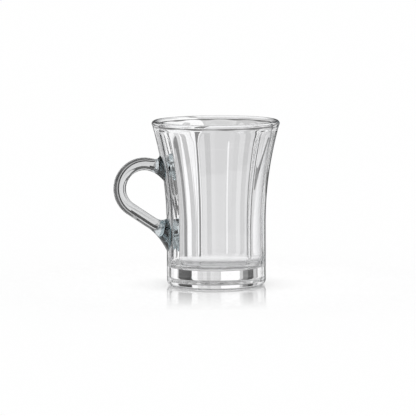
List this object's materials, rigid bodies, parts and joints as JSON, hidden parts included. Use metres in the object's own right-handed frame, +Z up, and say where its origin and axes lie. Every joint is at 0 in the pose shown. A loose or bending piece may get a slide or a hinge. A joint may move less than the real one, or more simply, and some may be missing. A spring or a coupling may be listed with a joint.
{
  "type": "handled cortado glass",
  "caption": "Small thick-walled clear glass mug with a flared rim, a panelled inside, a heavy solid base and a round loop handle welded to its side.",
  "frame": {"origin": "on the axis of the glass, in the plane of the ring that it stands on", "axes": "+Z up along the axis of the glass, the handle lies in the XZ plane and points towards -X"},
  "size_m": [0.0916, 0.07, 0.09],
  "materials": {
    "body_glass": "clear pressed glass, fire-polished lip and smooth outside",
    "handle_glass": "clear pressed glass, fire-polished rod, welded pads"
  },
  "bodies": {
    "root": {"body": "body_glass", "handle": "handle_glass"}
  },
  "joints": []
}
